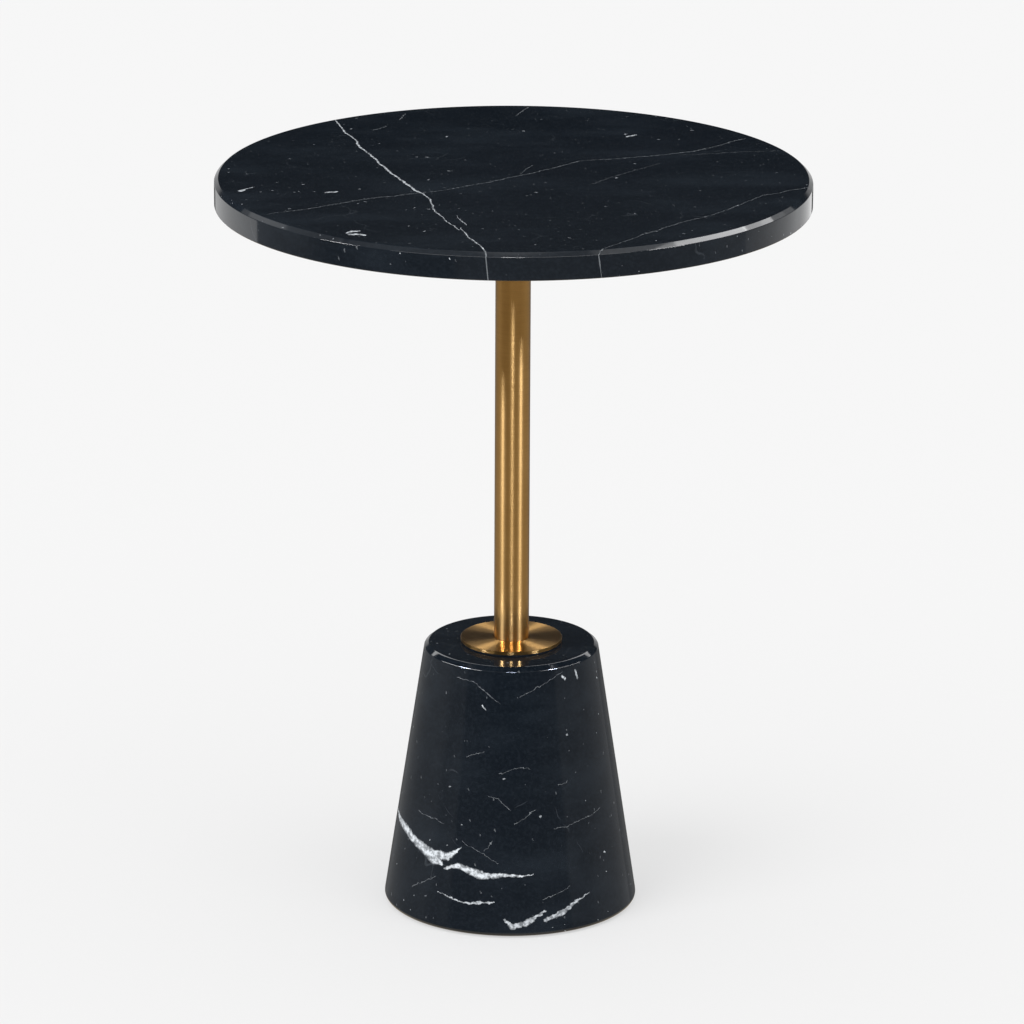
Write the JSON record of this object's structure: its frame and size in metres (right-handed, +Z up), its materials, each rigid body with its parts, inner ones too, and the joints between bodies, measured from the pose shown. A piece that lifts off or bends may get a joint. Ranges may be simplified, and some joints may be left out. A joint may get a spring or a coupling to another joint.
{
  "type": "round pedestal side table",
  "caption": "Small round side table: a polished dark stone disc on a slim brass stem that stands in a heavy truncated-cone stone base.",
  "frame": {"origin": "on the stem's axis, at the floor that the foot pads stand on", "axes": "+Z up along the stem; the table is round, and -Y is taken as its front"},
  "size_m": [0.42, 0.42, 0.537],
  "materials": {
    "dark_stone": "polished",
    "antique_brass": "satin",
    "plain_brass": "satin",
    "black_coat": "satin",
    "zinc_steel": "satin",
    "black_rubber": "matte",
    "nylon": "satin"
  },
  "bodies": {
    "root": {"table_top": "dark_stone", "top_insert_1": "plain_brass", "top_insert_2": "plain_brass", "top_insert_3": "plain_brass", "top_insert_4": "plain_brass", "plate_pad": "black_rubber", "mounting_plate": "black_coat", "plate_hub": "black_coat", "plate_washer_1": "zinc_steel", "plate_washer_2": "zinc_steel", "plate_washer_3": "zinc_steel", "plate_washer_4": "zinc_steel", "plate_screw_1": "zinc_steel", "plate_screw_2": "zinc_steel", "plate_screw_3": "zinc_steel", "plate_screw_4": "zinc_steel", "stem_tube": "antique_brass", "stem_bush": "nylon", "base_flange": "antique_brass", "flange_gasket": "black_rubber", "base": "dark_stone", "foot_pad_1": "black_rubber", "foot_pad_2": "black_rubber", "foot_pad_3": "black_rubber", "foot_pad_4": "black_rubber", "tie_rod": "zinc_steel", "anchor_washer": "zinc_steel", "spring_washer": "zinc_steel", "tie_nut": "zinc_steel"}
  },
  "joints": []
}
